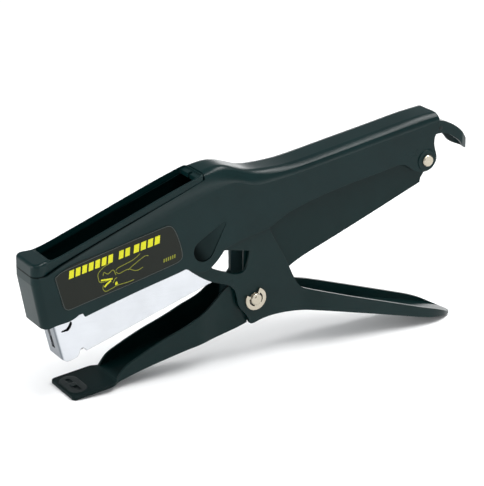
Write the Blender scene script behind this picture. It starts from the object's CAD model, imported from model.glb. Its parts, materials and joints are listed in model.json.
"""Hand tool with a stapling head: finishes, label print, studio and camera.

The nose points to -X and the label is on the -Y side. Side-view points are (x, z) in mm from
the main pivot; the tool is pitched by STANCE, which raises its +X end.
"""
import bpy
import bmesh
import json
import math
from mathutils import Vector, Matrix


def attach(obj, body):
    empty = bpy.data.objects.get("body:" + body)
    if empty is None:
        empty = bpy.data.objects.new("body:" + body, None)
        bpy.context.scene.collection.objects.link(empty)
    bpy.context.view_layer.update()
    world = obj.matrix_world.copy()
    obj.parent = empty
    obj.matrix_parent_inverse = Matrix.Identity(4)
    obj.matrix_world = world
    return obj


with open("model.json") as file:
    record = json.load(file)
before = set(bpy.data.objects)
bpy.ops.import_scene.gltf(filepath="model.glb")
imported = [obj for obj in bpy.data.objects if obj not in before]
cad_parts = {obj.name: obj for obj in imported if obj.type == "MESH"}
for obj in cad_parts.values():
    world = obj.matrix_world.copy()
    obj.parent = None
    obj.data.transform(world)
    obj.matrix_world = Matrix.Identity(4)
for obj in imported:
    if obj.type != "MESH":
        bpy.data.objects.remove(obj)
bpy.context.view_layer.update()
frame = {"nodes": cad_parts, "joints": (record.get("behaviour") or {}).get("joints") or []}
nodes = frame["nodes"]

# ---------------------------------------------------------------------------
# Side-view frame
# ---------------------------------------------------------------------------
STANCE = math.radians(3.3)
COS, SIN = math.cos(STANCE), math.sin(STANCE)
PIVOT = next(j for j in frame["joints"] if j["name"] == "lever_squeeze")["pos_m"]
PIVOT_X, PIVOT_Z = PIVOT[0], PIVOT[2]


def at(x, z, y=0.0):
    """A side-view point in mm, in world metres."""
    x, y, z = x / 1000, y / 1000, z / 1000
    return Vector((PIVOT_X + x * COS - z * SIN, y, PIVOT_Z + x * SIN + z * COS))


def turn(x, y, z):
    """A side-view direction, in the world."""
    return Vector((x * COS - z * SIN, y, x * SIN + z * COS))


# ---------------------------------------------------------------------------
# Node building
# ---------------------------------------------------------------------------
class Nodes:
    """An emptied node tree and short ways to add nodes; most return an output socket."""

    def __init__(self, tree):
        self.tree = tree
        tree.nodes.clear()

    def node(self, kind, **props):
        node = self.tree.nodes.new(kind)
        for key, value in props.items():
            setattr(node, key, value)
        return node

    def put(self, socket, value):
        """Link a socket, or set its value."""
        if isinstance(value, bpy.types.NodeSocket):
            self.tree.links.new(value, socket)
        elif isinstance(value, tuple) and len(value) == 3 and socket.type == "RGBA":
            socket.default_value = (*value, 1)
        else:
            socket.default_value = value

    def math(self, operation, a, b=0.0, c=0.0, clamp=False):
        node = self.node("ShaderNodeMath", operation=operation, use_clamp=clamp)
        for socket, value in zip(node.inputs, (a, b, c)):
            self.put(socket, value)
        return node.outputs[0]

    def add(self, a, b):
        return self.math("ADD", a, b)

    def sub(self, a, b):
        return self.math("SUBTRACT", a, b)

    def mul(self, a, b):
        return self.math("MULTIPLY", a, b)

    def mul_add(self, a, factor, offset):
        return self.math("MULTIPLY_ADD", a, factor, offset)

    def max(self, a, b, clamp=False):
        return self.math("MAXIMUM", a, b, clamp=clamp)

    def abs(self, a):
        return self.math("ABSOLUTE", a)

    def dot(self, a, b):
        node = self.node("ShaderNodeVectorMath", operation="DOT_PRODUCT")
        self.put(node.inputs[0], a)
        self.put(node.inputs[1], b)
        return node.outputs["Value"]

    def xyz(self, vector):
        node = self.node("ShaderNodeSeparateXYZ")
        self.put(node.inputs[0], vector)
        return node.outputs

    def fade(self, value, zero, one, kind="SMOOTHSTEP"):
        """0 to 1 as the value goes from zero to one."""
        node = self.node("ShaderNodeMapRange", interpolation_type=kind)
        self.put(node.inputs[0], value)
        node.inputs[1].default_value = zero
        node.inputs[2].default_value = one
        return node.outputs[0]

    def ramp(self, value, zero, one, low=(0, 0, 0), high=(1, 1, 1)):
        """Colour ramp: low where the value is at zero, high where it is at one."""
        node = self.node("ShaderNodeValToRGB")
        self.put(node.inputs[0], value)
        stops = sorted([(zero, low), (one, high)])
        for element, (position, color) in zip(node.color_ramp.elements, stops):
            element.position = position
            element.color = (*color, 1)
        return node.outputs["Color"]


class Surface(Nodes):
    """A new material with one principled shader."""

    def __init__(self, name):
        self.material = bpy.data.materials.new(name)
        self.material.use_nodes = True
        super().__init__(self.material.node_tree)
        output = self.node("ShaderNodeOutputMaterial")
        self.shader = self.node("ShaderNodeBsdfPrincipled")
        self.put(output.inputs["Surface"], self.shader.outputs[0])
        self.place = self.node("ShaderNodeTexCoord").outputs["Object"]

    def finish(self, **inputs):
        for key, value in inputs.items():
            self.put(self.shader.inputs[key.replace("_", " ")], value)
        return self.material

    def scaled(self, scale, turned=(0, 0, 0)):
        node = self.node("ShaderNodeMapping")
        self.put(node.inputs["Vector"], self.place)
        node.inputs["Scale"].default_value = scale
        node.inputs["Rotation"].default_value = turned
        return node.outputs[0]

    def noise(self, scale, detail, rough=0.55, vector=None, distortion=0.0):
        node = self.node("ShaderNodeTexNoise")
        self.put(node.inputs["Vector"], vector or self.place)
        node.inputs["Scale"].default_value = scale
        node.inputs["Detail"].default_value = detail
        node.inputs["Roughness"].default_value = rough
        node.inputs["Distortion"].default_value = distortion
        return node.outputs["Fac"]

    def voronoi(self, scale):
        node = self.node("ShaderNodeTexVoronoi")
        self.put(node.inputs["Vector"], self.place)
        node.inputs["Scale"].default_value = scale
        return node.outputs["Distance"]

    def mix(self, amount, a, b):
        node = self.node("ShaderNodeMix", data_type="RGBA")
        for index, value in ((0, amount), (6, a), (7, b)):
            self.put(node.inputs[index], value)
        return node.outputs[2]

    def bump(self, height, strength, distance, normal):
        node = self.node("ShaderNodeBump")
        node.inputs["Strength"].default_value = strength
        node.inputs["Distance"].default_value = distance
        self.put(node.inputs["Height"], height)
        self.put(node.inputs["Normal"], normal)
        return node.outputs[0]

    def rounded(self, radius):
        node = self.node("ShaderNodeBevel", samples=6)
        node.inputs["Radius"].default_value = radius
        return node.outputs[0]

    def edges(self, rounded, zero=0.02, one=0.35):
        """1 on sharp edges, from how far the rounded normal leaves the shading one."""
        normal = self.node("ShaderNodeNewGeometry").outputs["Normal"]
        return self.fade(self.sub(1.0, self.dot(rounded, normal)), zero, one, kind="LINEAR")

    def facing(self):
        """Components of the true normal."""
        return self.xyz(self.node("ShaderNodeNewGeometry").outputs["True Normal"])


def dim(color, factor):
    return tuple(c * factor for c in color)


# ---------------------------------------------------------------------------
# Masks by place; plain positions are in metres, side-view ones in mm
# ---------------------------------------------------------------------------
def inward(mat):
    """1 on faces that look at the tool's own middle plane."""
    y = mat.xyz(mat.place)[1]
    outward = mat.mul(mat.math("SIGN", y), mat.facing()[1])
    return mat.fade(outward, zero=-0.15, one=-0.6)


def side_view(mat):
    """Side-view coordinates of a surface point, in mm."""
    place = mat.xyz(mat.place)
    dx = mat.sub(place[0], PIVOT_X)
    dz = mat.sub(place[2], PIVOT_Z)
    x = mat.add(mat.mul(dx, COS * 1000), mat.mul(dz, SIN * 1000))
    z = mat.sub(mat.mul(dz, COS * 1000), mat.mul(dx, SIN * 1000))
    return x, z


def seam(mat):
    """Dark line where the bezel sits on the casing: level, then two slopes."""
    level = 37.8
    x, z = side_view(mat)
    first = mat.mul_add(mat.add(x, 112.6), factor=0.4247, offset=level)
    rest = mat.mul_add(mat.add(x, 105.3), factor=0.3435, offset=40.9)
    line = mat.max(mat.math("MINIMUM", first, rest), level)
    distance = mat.abs(mat.sub(z, line))
    return mat.mul(mat.fade(distance, zero=0.50, one=0.22), mat.fade(x, zero=-45.0, one=-70.0))


def casing_shade(mat):
    """Inside of the head, the seam, and the pressed drops by their depth."""
    drop_x = -29.5
    centre = at(drop_x, 36.5)
    x, y, z = mat.xyz(mat.place)
    dx = mat.sub(x, centre.x)
    dz = mat.sub(z, centre.z)
    radius = mat.math("SQRT", mat.add(mat.mul(dx, dx), mat.mul(dz, dz)))
    near = mat.fade(radius, zero=0.0175, one=0.0160)
    depth = mat.fade(mat.abs(y), zero=0.01028, one=0.00970)
    wall = mat.fade(mat.abs(mat.facing()[1]), zero=0.95, one=0.6)
    # darkest along the lower left of the drop; the factors are the direction towards it
    side_x, side_z = side_view(mat)
    down = mat.mul_add(mat.add(side_x, -drop_x), -0.85, mat.mul(mat.add(side_z, -32.1), -0.53))
    lee = mat.mul_add(mat.fade(down, zero=-1.5, one=4.4), factor=0.52, offset=0.46)
    drop = mat.mul(near, mat.max(mat.mul(depth, lee), wall))
    shade = mat.max(mat.mul(inward(mat), 0.75), mat.mul(seam(mat), 0.85))
    return mat.max(shade, drop, clamp=True)


def bezel_shade(mat):
    """Opening walls go dark below a lit upper band that follows the sloped head."""
    low, high = at(-105, 43.6), at(-34, 67.2)
    slope = (high.z - low.z) / (high.x - low.x)
    x, _, z = mat.xyz(mat.place)
    top = mat.add(mat.mul(mat.sub(x, low.x), slope), low.z)
    deep = mat.fade(mat.sub(top, z), zero=0.0008, one=0.0034)
    walls = mat.mul(mat.mul(inward(mat), deep), 0.8)
    return mat.max(walls, mat.mul(seam(mat), 0.85), clamp=True)


def frame_shade(mat):
    """Inner faces, upward trough and front pad of the frame, ahead of the pivot only."""
    x, y, _ = mat.xyz(mat.place)
    front = mat.fade(x, zero=-0.0150, one=-0.0170)
    side_x, _ = side_view(mat)
    between = mat.fade(mat.abs(y), zero=0.0087, one=0.0085)
    upward = mat.fade(mat.facing()[2], zero=0.2, one=0.5)
    trough = mat.mul(between, mat.mul(upward, mat.fade(side_x, zero=-79.5, one=-73.0)))
    shade = mat.max(mat.mul(inward(mat), 0.62), mat.mul(trough, 0.66))
    # the pad is darkened by handling
    pad = mat.fade(side_x, zero=-76.0, one=-81.0)
    return mat.mul(mat.max(shade, mat.mul(pad, 0.42)), front)


def frame_lift(mat):
    """Inner faces of the frame around the pivot."""
    x = mat.xyz(mat.place)[0]
    front = mat.fade(x, zero=-0.0170, one=-0.0150)
    back = mat.fade(x, zero=0.012, one=0.006)
    return mat.mul(mat.mul(inward(mat), front), back)


# ---------------------------------------------------------------------------
# Materials
# ---------------------------------------------------------------------------
def enamel(name, base=(0.0007, 0.0098, 0.0102), rough=0.30, wear=0.20, peel=1.0, spec=0.05,
           shade=None, lift=None):
    """Black-green enamel: fine peel, soft smudges, thin paint along edges.

    wear is the strength of the edge scuffs, peel that of the relief; shade and lift are masks.
    """
    mat = Surface(name)
    rounded = mat.rounded(radius=0.00035)
    edge = mat.edges(rounded)
    cloud = mat.noise(scale=42, detail=4, rough=0.6)
    fine = mat.noise(scale=1500, detail=2, rough=0.5)
    orange_peel = mat.noise(scale=620, detail=3, rough=0.45)
    smudge = mat.noise(scale=17, detail=5, rough=0.65, distortion=0.6,
                       vector=mat.scaled((1.0, 1.0, 1.9), turned=(0, 0.3, 0)))
    lighter = tuple(c * 1.35 + 0.0006 for c in base)
    tone = mat.mix(mat.ramp(cloud, zero=0.3, one=0.75), base, lighter)
    patches = mat.noise(scale=160, detail=5, rough=0.7)
    scuff = mat.mul(edge, mat.ramp(patches, zero=0.38, one=0.72))
    tone = mat.mix(mat.mul(scuff, wear), tone, (0.09, 0.115, 0.115))
    # sparse dust specks
    specks = mat.ramp(mat.voronoi(scale=420), zero=0.035, one=0.0)
    dust = mat.mul(specks, mat.ramp(mat.noise(scale=60, detail=2), zero=0.52, one=0.62))
    tone = mat.mix(mat.mul(dust, 0.06), tone, (0.25, 0.26, 0.26))
    gloss = mat.add(rough - 0.07, mat.mul(mat.ramp(smudge, zero=0.3, one=0.7), 0.12))
    gloss = mat.add(gloss, mat.mul(fine, 0.05))
    height = mat.add(mat.mul(orange_peel, 0.7), mat.mul(fine, 0.3))
    coat = 0.22
    if shade:
        # thin, sooty paint where the spray hardly reached
        mask = shade(mat)
        coat = mat.mul_add(mask, factor=-0.19, offset=coat)
        tone = mat.mix(mask, tone, dim(base, 0.16))
        spec = mat.sub(spec, mat.mul(mask, spec * 0.82))
    if lift:
        # chalkier paint on faces that caught the overspray
        tone = mat.mix(lift(mat), tone, (0.035, 0.070, 0.074))
    return mat.finish(
        Base_Color=tone, Roughness=gloss, Specular_IOR_Level=spec, Coat_Weight=coat,
        Coat_Roughness=0.30,
        Normal=mat.bump(height, strength=0.32 * peel, distance=0.00006, normal=rounded))


def metal(name, base, rough, brush, vary, bump, grime, turned=(0, 0, 0), radius=0.00025,
          line=0.0, front=0.0):
    """Plated or bare steel: drawn lines, cloudy tone and a darker film.

    brush scales the lines per axis, vary spreads the roughness, line darkens sharp edges and
    front dulls walls that face the nose.
    """
    mat = Surface(name)
    rounded = mat.rounded(radius)
    lines = mat.noise(scale=1.0, detail=4, rough=0.6, vector=mat.scaled(brush, turned))
    cloud = mat.noise(scale=70, detail=4, rough=0.6, distortion=0.4)
    fine = mat.noise(scale=2600, detail=2, rough=0.5)
    tone = mat.mix(mat.ramp(cloud, zero=0.3, one=0.75), base, dim(base, 0.88))
    tone = mat.mix(mat.mul(mat.ramp(lines, zero=0.45, one=0.8), grime), tone, dim(base, 0.55))
    if front:
        wall = mat.fade(mat.facing()[0], zero=-0.45, one=-0.85)
        tone = mat.mix(mat.mul(wall, front), tone, (0.11, 0.13, 0.15))
    if line:
        edge = mat.edges(rounded, zero=0.01, one=0.2)
        tone = mat.mix(mat.mul(edge, line), tone, dim(base, 0.25))
    gloss = mat.add(rough - vary / 2, mat.mul(lines, vary))
    gloss = mat.add(gloss, mat.mul(mat.ramp(cloud, zero=0.35, one=0.8), vary * 0.8))
    height = mat.add(mat.mul(lines, 0.6), mat.mul(fine, 0.4))
    return mat.finish(
        Base_Color=tone, Metallic=1.0, Roughness=gloss,
        Normal=mat.bump(height, strength=bump, distance=0.00003, normal=rounded))


def film(name, base, rough, spec):
    """Label film or ink: fine grain and faint darker patches."""
    mat = Surface(name)
    rounded = mat.rounded(radius=0.0002)
    grain = mat.noise(scale=2200, detail=2, rough=0.5)
    cloud = mat.noise(scale=35, detail=3, rough=0.5)
    tone = mat.mix(mat.ramp(cloud, zero=0.3, one=0.7), base, dim(base, 1.12))
    patches = mat.ramp(mat.noise(scale=300, detail=4, rough=0.7), zero=0.62, one=0.8)
    tone = mat.mix(mat.mul(patches, 0.25), tone, dim(base, 0.75))
    return mat.finish(
        Base_Color=tone, Roughness=mat.add(rough - 0.03, mat.mul(grain, 0.07)),
        Specular_IOR_Level=spec,
        Normal=mat.bump(grain, strength=0.12, distance=0.00003, normal=rounded))


casing = enamel("casing_enamel_paint", shade=casing_shade)
bezel = enamel("bezel_enamel_paint", shade=bezel_shade)
tail = enamel("tail_enamel_paint")
channel = enamel("frame_enamel_paint", base=(0.0006, 0.0086, 0.0086), rough=0.32, wear=0.24,
                 peel=1.2, spec=0.03, shade=frame_shade, lift=frame_lift)
lever = enamel("lever_enamel_paint", base=(0.0007, 0.0095, 0.0096), wear=0.24, peel=1.1)
inner = enamel("inner_black_paint", base=(0.002, 0.0065, 0.0065), rough=0.5, wear=0.10,
               peel=0.8, spec=0.12)
nickel = metal("bright_nickel", (0.60, 0.62, 0.65), rough=0.20, brush=(24, 500, 1500),
               vary=0.08, bump=0.10, grime=0.10, turned=(0, -STANCE - math.radians(15.35), 0),
               radius=0.0004, line=1.0, front=0.85)
warm = metal("warm_nickel", (0.46, 0.42, 0.34), rough=0.24, brush=(500, 500, 500),
             vary=0.08, bump=0.10, grime=0.10)
hard = metal("hard_steel", (0.42, 0.42, 0.43), rough=0.34, brush=(900, 60, 900),
             vary=0.14, bump=0.25, grime=0.3)
wire = metal("spring_wire", (0.46, 0.45, 0.44), rough=0.30, brush=(600, 600, 600),
             vary=0.10, bump=0.2, grime=0.35)
anvil = metal("anvil_steel", (0.022, 0.034, 0.034), rough=0.34, brush=(700, 50, 700),
              vary=0.14, bump=0.25, grime=0.45)
label_film = film("label_film", (0.0115, 0.0135, 0.0108), rough=0.46, spec=0.11)
yellow = film("label_yellow", (0.52, 0.51, 0.008), rough=0.5, spec=0.25)
fine_yellow = film("label_fine_yellow", (0.19, 0.20, 0.012), rough=0.5, spec=0.25)
edge_line = film("label_edge_line", (0.048, 0.062, 0.060), rough=0.42, spec=0.25)

FINISH = {
    "frame_channel": channel, "anvil_plate": anvil, "anvil_rivet": anvil, "pivot_pin": warm,
    "pivot_clips": warm, "pivot_washers": hard, "pivot_spacer": hard, "return_spring": wire,
    "rear_rivet": warm, "rear_spacers": hard, "lower_handle": lever, "upper_shell": casing,
    "top_bezel": bezel, "label_plate": label_film, "drive_studs": hard, "driver_blade": hard,
    "driver_holder": inner, "driver_rivets": hard, "magazine_spring": wire,
    "magazine_channel": nickel, "staple_rail": hard, "magazine_carrier": inner,
    "carrier_spacers": inner, "carrier_rivets": hard, "spring_stop": inner,
    "pusher_block": inner, "pusher_rod": hard, "pusher_spring": wire, "finger_tail": tail,
    "tail_pin": inner,
}
for name, piece in nodes.items():
    piece.data.materials.clear()
    piece.data.materials.append(FINISH[name])
    for polygon in piece.data.polygons:
        polygon.material_index = 0

# ---------------------------------------------------------------------------
# Label print: thin ink layers on the film, in mm
# ---------------------------------------------------------------------------
INK_Y = -10.6       # plane the ink lies on
INK_SINK = 0.004    # how far ink reaches inward of that plane
LINE_STEPS = 5      # points per span of a smoothed line

# label outline (x, z), from the front top corner
LABEL = [
    (-107.2, 37.2), (-104.4, 38.6), (-95, 40.6), (-85.1, 42.7), (-76.5, 44.3), (-68, 45.9),
    (-59, 47.5), (-50.7, 48.9), (-48.6, 48.9), (-46.9, 48.0), (-45.2, 45.6), (-43.8, 42.4),
    (-42.3, 37.6), (-41.5, 34), (-41.6, 31.2), (-43.2, 29.6), (-47.3, 28.4), (-56, 26.7),
    (-64.6, 25), (-75, 23.1), (-85.8, 21.3), (-94, 19.9), (-101.3, 18.6), (-103.2, 18.9),
    (-104.6, 20.3), (-105.8, 24.6), (-107.1, 29.3), (-108.2, 33.8), (-108.5, 35.8),
]
LABEL_CENTRE = Vector((-75, 33.6))

# pictogram lines (x, z): the tool's own outline
FINE_LINES = [
    [(-86.5, 30.4), (-86.7, 32.7), (-85.6, 34.4), (-83.2, 36.1), (-80.5, 37.0)],
    [(-86.5, 30.4), (-86.0, 29.0), (-84.7, 28.5), (-82.6, 28.5), (-79.5, 29.3)],
    [(-84.1, 31.6), (-83.5, 33.2), (-81.5, 32.0), (-78.8, 33.4), (-77.3, 30.5)],
    [(-77.3, 32.8), (-76.2, 33.8), (-73.0, 34.7), (-69.3, 35.7), (-66.6, 36.9), (-64.4, 38.4)],
    [(-71.0, 31.6), (-68.3, 33.3), (-65.1, 35.1), (-61.8, 36.6), (-60.0, 36.4)],
    [(-77.3, 32.0), (-75.7, 30.9), (-73.1, 31.6), (-70.4, 32.0), (-67.8, 30.7), (-65.7, 30.4),
     (-63.0, 31.3)],
    [(-84.0, 27.1), (-84.3, 25.1), (-82.8, 23.6), (-79.6, 24.4), (-77.0, 25.2), (-74.8, 25.4),
     (-71.1, 25.6), (-67.9, 26.1)],
    [(-79.0, 26.9), (-77.9, 28.7), (-76.8, 29.2)],
]
BOLD_LINES = [
    [(-85.2, 29.6), (-82.6, 29.3), (-79.2, 29.1)],
    [(-83.5, 25.9), (-81.9, 27.3), (-80.0, 28.4)],
]
PATCH = [(-77.9, 25.4), (-76.4, 25.8), (-76.9, 27.3), (-77.8, 26.9)]


def plate(draft, points, height, slot=0):
    """A flat patch of ink from a side-view outline."""
    base, top = [[draft.verts.new(at(x, z, y)) for x, z in points]
                 for y in (INK_Y + INK_SINK, INK_Y - height)]
    faces = [draft.faces.new(base), draft.faces.new(top[::-1])]
    for i in range(len(points)):
        j = (i + 1) % len(points)
        faces.append(draft.faces.new((base[i], top[i], top[j], base[j])))
    for face in faces:
        face.material_index = slot


def ribbon(draft, points, width, height, slot=0, closed=False, lift=0.0):
    """A band of ink of constant width along a side-view line, moved outward by lift."""
    base_y = INK_Y + INK_SINK - lift
    top_y = INK_Y - height - lift
    count = len(points)
    rows = []
    for i, point in enumerate(points):
        if closed:
            along = points[(i + 1) % count] - points[i - 1]
        else:
            along = points[min(i + 1, count - 1)] - points[max(i - 1, 0)]
        along.normalize()
        across = Vector((-along.y, along.x)) * width / 2
        left, right = point + across, point - across
        corners = ((left, base_y), (right, base_y), (right, top_y), (left, top_y))
        rows.append([draft.verts.new(at(p.x, p.y, y)) for p, y in corners])
    for i in range(count if closed else count - 1):
        row, after = rows[i], rows[(i + 1) % count]
        for k in range(4):
            n = (k + 1) % 4
            draft.faces.new((row[k], row[n], after[n], after[k])).material_index = slot
    if not closed:
        for end in (rows[0], rows[-1][::-1]):
            draft.faces.new(end).material_index = slot


def smooth_line(points, closed=False):
    """Catmull-Rom through the points."""
    points = [Vector(p) for p in points]
    count = len(points)
    line = []
    for i in range(count if closed else count - 1):
        p1, p2 = points[i], points[(i + 1) % count]
        p0 = points[i - 1] if closed or i > 0 else p1 * 2 - p2
        p3 = points[(i + 2) % count] if closed or i + 2 < count else p2 * 2 - p1
        for k in range(LINE_STEPS):
            t = k / LINE_STEPS
            line.append(0.5 * ((2 * p1) + (p2 - p0) * t + (2 * p0 - 5 * p1 + 4 * p2 - p3) * t * t
                               + (3 * p1 - p0 - 3 * p2 + p3) * t ** 3))
    if not closed:
        line.append(points[-1])
    return line


def inset(line, distance):
    """A closed line moved towards the label's centre."""
    moved = []
    for i, point in enumerate(line):
        along = (line[(i + 1) % len(line)] - line[i - 1]).normalized()
        normal = Vector((-along.y, along.x))
        if normal.dot(LABEL_CENTRE - point) < 0:
            normal = -normal
        moved.append(point + normal * distance)
    return moved


def bars(draft, start, count, pitch, width, height, lean, slope, origin):
    """A run of slanted bars on a print line that starts at origin and rises by slope degrees."""
    cos, sin = math.cos(math.radians(slope)), math.sin(math.radians(slope))
    for k in range(count):
        u = start + k * pitch
        corners = ((u, 0), (u + width, 0), (u + width + lean, height), (u + lean, height))
        plate(draft, [(origin[0] + a * cos - b * sin, origin[1] + a * sin + b * cos)
                      for a, b in corners], height=0.025)


def print_piece(name, draft, inks):
    bmesh.ops.recalc_face_normals(draft, faces=draft.faces)
    mesh = bpy.data.meshes.new(name)
    draft.to_mesh(mesh)
    draft.free()
    for ink in inks:
        mesh.materials.append(ink)
    piece = bpy.data.objects.new(name, mesh)
    bpy.context.scene.collection.objects.link(piece)
    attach(piece, "head")


def label_border():
    draft = bmesh.new()
    line = inset(smooth_line(LABEL, closed=True), distance=0.3)
    ribbon(draft, line, width=0.24, height=0.02, closed=True)
    print_piece("label_border", draft, [edge_line])


def label_bars():
    """The band of large bars, in three runs."""
    draft = bmesh.new()
    for start, count, pitch in ((0.0, 7, 3.42), (26.2, 2, 3.4), (34.2, 4, 3.75)):
        bars(draft, start, count, pitch, width=pitch - 0.95, height=3.9, lean=1.0,
             slope=8.8, origin=(-101.6, 33.9))
    print_piece("label_bars", draft, [yellow])


def label_row():
    """The row of small bars near the label's rear end."""
    draft = bmesh.new()
    bars(draft, start=0.0, count=6, pitch=1.18, width=0.62, height=1.75, lean=0.4,
         slope=10, origin=(-52.0, 31.0))
    print_piece("label_row", draft, [fine_yellow])


def label_pictogram():
    """Each line has its own height or lift, so crossing faces never coincide."""
    draft = bmesh.new()
    for k, line in enumerate(FINE_LINES):
        ribbon(draft, smooth_line(line), width=0.34, height=0.012, lift=0.0008 * k)
    for k, line in enumerate(BOLD_LINES):
        ribbon(draft, smooth_line(line), width=0.85, height=0.022 + 0.001 * k, slot=1)
    plate(draft, PATCH, height=0.026, slot=1)
    print_piece("label_pictogram", draft, [fine_yellow, yellow])


label_border()
label_bars()
label_row()
label_pictogram()

# ---------------------------------------------------------------------------
# Studio
# ---------------------------------------------------------------------------
scene = bpy.context.scene
scene.view_settings.view_transform = "Standard"
scene.view_settings.look = "None"
scene.view_settings.exposure = 0.30
scene.view_settings.gamma = 1.0


def studio_world():
    """Grey surroundings, brighter towards -Y."""
    world = bpy.data.worlds.new("studio")
    scene.world = world
    world.use_nodes = True
    sky = Nodes(world.node_tree)
    output = sky.node("ShaderNodeOutputWorld")
    background = sky.node("ShaderNodeBackground")
    view = sky.node("ShaderNodeTexCoord").outputs["Generated"]
    toward = sky.fade(sky.dot(view, (-0.35, -0.92, -0.1)), zero=-0.7, one=0.8, kind="LINEAR")
    grey = sky.ramp(toward, zero=0.0, one=1.0, low=(0.30, 0.31, 0.32), high=(0.64, 0.65, 0.66))
    sky.put(background.inputs["Color"], grey)
    sky.put(background.inputs["Strength"], 1.0)
    sky.put(output.inputs["Surface"], background.outputs[0])


def paper_floor():
    mesh = bpy.data.meshes.new("floor")
    draft = bmesh.new()
    bmesh.ops.create_grid(draft, x_segments=2, y_segments=2, size=6.0)
    draft.to_mesh(mesh)
    draft.free()
    floor = bpy.data.objects.new("floor", mesh)
    scene.collection.objects.link(floor)
    floor.location.z = -0.0002
    mat = Surface("floor_paper")
    tone = mat.mix(mat.noise(scale=3, detail=2), (0.93, 0.93, 0.93), (0.95, 0.95, 0.95))
    mesh.materials.append(mat.finish(Base_Color=tone, Roughness=0.85, Specular_IOR_Level=0.1))


# name, place, aim, width, height (m), power (W)
SOFTBOXES = [
    ("key_strip", (0.42, -0.16, 0.95), (0.02, 0.0, 0.06), 1.1, 0.16, 8.0),
    ("fill_top", (-0.45, -0.55, 1.3), (0.0, 0.0, 0.05), 0.9, 0.9, 3.6),
    ("side_left", (-1.0, 0.35, 0.30), (-0.1, 0.0, 0.05), 0.7, 0.4, 6.0),
    ("fold_strip", (0.62, -1.33, 0.10), (0.0, 0.0, 0.07), 0.9, 0.10, 2.4),
    ("rim_back", (0.85, 1.15, 0.16), (0.0, 0.0, 0.08), 1.0, 0.3, 2.6),
]


def softbox(name, place, aim, width, height, power):
    light = bpy.data.lights.new(name, "AREA")
    light.energy = power
    light.shape = "RECTANGLE"
    light.size = width
    light.size_y = height
    lamp = bpy.data.objects.new(name, light)
    scene.collection.objects.link(lamp)
    lamp.location = place
    lamp.rotation_euler = (Vector(aim) - Vector(place)).to_track_quat("-Z", "Y").to_euler()


def camera():
    """Long lens from the front, label side and above; its axes are side-view directions."""
    lens = bpy.data.cameras.new("camera")
    lens.sensor_fit = "HORIZONTAL"
    lens.sensor_width = 36.0
    lens.lens = 136.8595041
    lens.clip_start = 0.05
    lens.clip_end = 50.0
    cam = bpy.data.objects.new("camera", lens)
    scene.collection.objects.link(cam)
    right = turn(0.84432793, -0.53582679, 0.0)
    up = turn(0.20159104, 0.31765665, 0.92652863)
    back = turn(-0.49645887, -0.782294, 0.37622426)
    pose = Matrix((right, up, back)).transposed().to_4x4()
    pose.translation = at(x=-446.739, z=363.618, y=-701.181)
    cam.matrix_world = pose
    scene.camera = cam


studio_world()
paper_floor()
for box in SOFTBOXES:
    softbox(*box)
camera()
